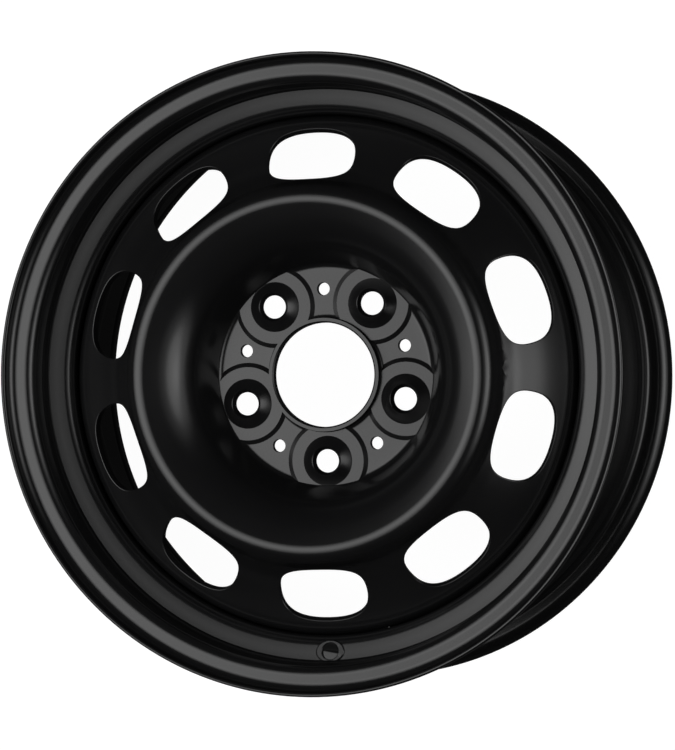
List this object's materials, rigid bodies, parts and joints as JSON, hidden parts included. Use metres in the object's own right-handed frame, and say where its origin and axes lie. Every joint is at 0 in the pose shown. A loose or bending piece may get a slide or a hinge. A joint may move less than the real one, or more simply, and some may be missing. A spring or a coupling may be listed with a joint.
{
  "type": "steel wheel rim",
  "caption": "Pressed steel road wheel: drop-centre rim with a welded vented disc, bolt holes with coned seats and a centring bore.",
  "frame": {"origin": "on the wheel axis, midway between the two tyre-side flange faces", "axes": "+Z along the wheel axis out of the outboard face, -Y through the bolt hole beside the valve hole"},
  "size_m": [0.44, 0.44, 0.2038],
  "materials": {
    "rim_enamel": "black enamel, half gloss",
    "disc_enamel": "black enamel, half gloss",
    "weld_enamel": "black enamel over a weld bead"
  },
  "bodies": {
    "root": {"rim": "rim_enamel", "disc": "disc_enamel", "weld_bead_1": "weld_enamel", "weld_bead_2": "weld_enamel", "weld_bead_3": "weld_enamel", "weld_bead_4": "weld_enamel", "weld_bead_5": "weld_enamel", "weld_bead_6": "weld_enamel", "weld_bead_7": "weld_enamel", "weld_bead_8": "weld_enamel", "weld_bead_9": "weld_enamel", "weld_bead_10": "weld_enamel"}
  },
  "joints": []
}
